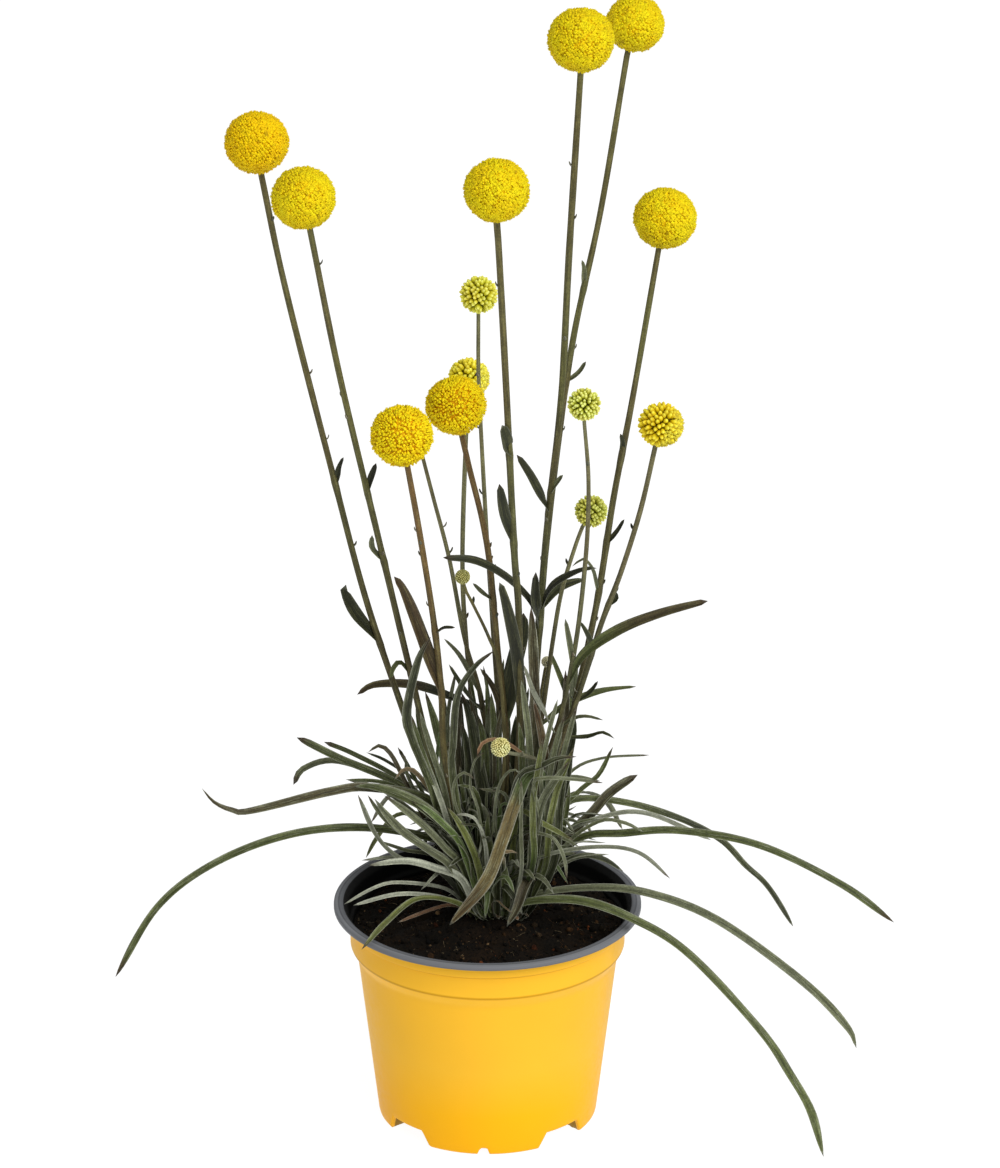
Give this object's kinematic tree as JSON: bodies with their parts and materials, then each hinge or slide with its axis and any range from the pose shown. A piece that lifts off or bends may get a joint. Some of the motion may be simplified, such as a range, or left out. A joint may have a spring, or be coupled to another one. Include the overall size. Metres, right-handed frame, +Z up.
{
  "type": "potted billy buttons plant",
  "caption": "Potted plant with upright leafy flower stems, each ending in a globe of small florets, over a rosette of long narrow leaves in a round nursery pot.",
  "frame": {"origin": "middle of the pot's underside, on the surface that it stands on", "axes": "+Z up along the pot's axis, +X to the plant's right, +Y to its back"},
  "size_m": [0.328, 0.1581, 0.4959],
  "materials": {
    "pot_plastic": "smooth satin plastic, yellow outside, grey lip and inside",
    "soil": "dark moist peat with fine crumbs and reddish fibres",
    "leaf": "fresh grey-green leaf, fine silvery hairs",
    "stem": "fresh olive stem, fine ribs and hairs",
    "florets_yellow": "bright yellow florets",
    "florets_orange": "deep golden florets",
    "florets_lime": "lime green unopened florets",
    "florets_cream": "pale woolly young florets"
  },
  "bodies": {
    "root": {"pot": "pot_plastic", "soil": "soil", "leaf_rosette": "leaf", "flower_stem_01": "stem", "flower_stem_02": "stem", "flower_stem_03": "stem", "flower_stem_04": "stem", "flower_stem_05": "stem", "flower_stem_06": "stem", "flower_stem_07": "stem", "flower_stem_08": "stem", "flower_stem_09": "stem", "flower_stem_10": "stem", "flower_stem_11": "stem", "flower_stem_12": "stem", "flower_stem_13": "stem", "flower_stem_14": "stem", "flower_stem_15": "stem", "flower_stem_16": "stem", "flower_stem_17": "stem", "flower_head_01": "florets_yellow", "flower_head_02": "florets_yellow", "flower_head_03": "florets_yellow", "flower_head_04": "florets_yellow", "flower_head_05": "florets_yellow", "flower_head_06": "florets_yellow", "flower_head_07": "florets_lime", "flower_head_08": "florets_yellow", "flower_head_09": "florets_orange", "flower_head_10": "florets_orange", "flower_head_11": "florets_lime", "flower_head_12": "florets_yellow", "flower_head_13": "florets_lime", "flower_head_14": "florets_cream", "flower_head_15": "florets_cream", "flower_head_16": "florets_cream", "flower_head_17": "florets_yellow"}
  },
  "joints": []
}
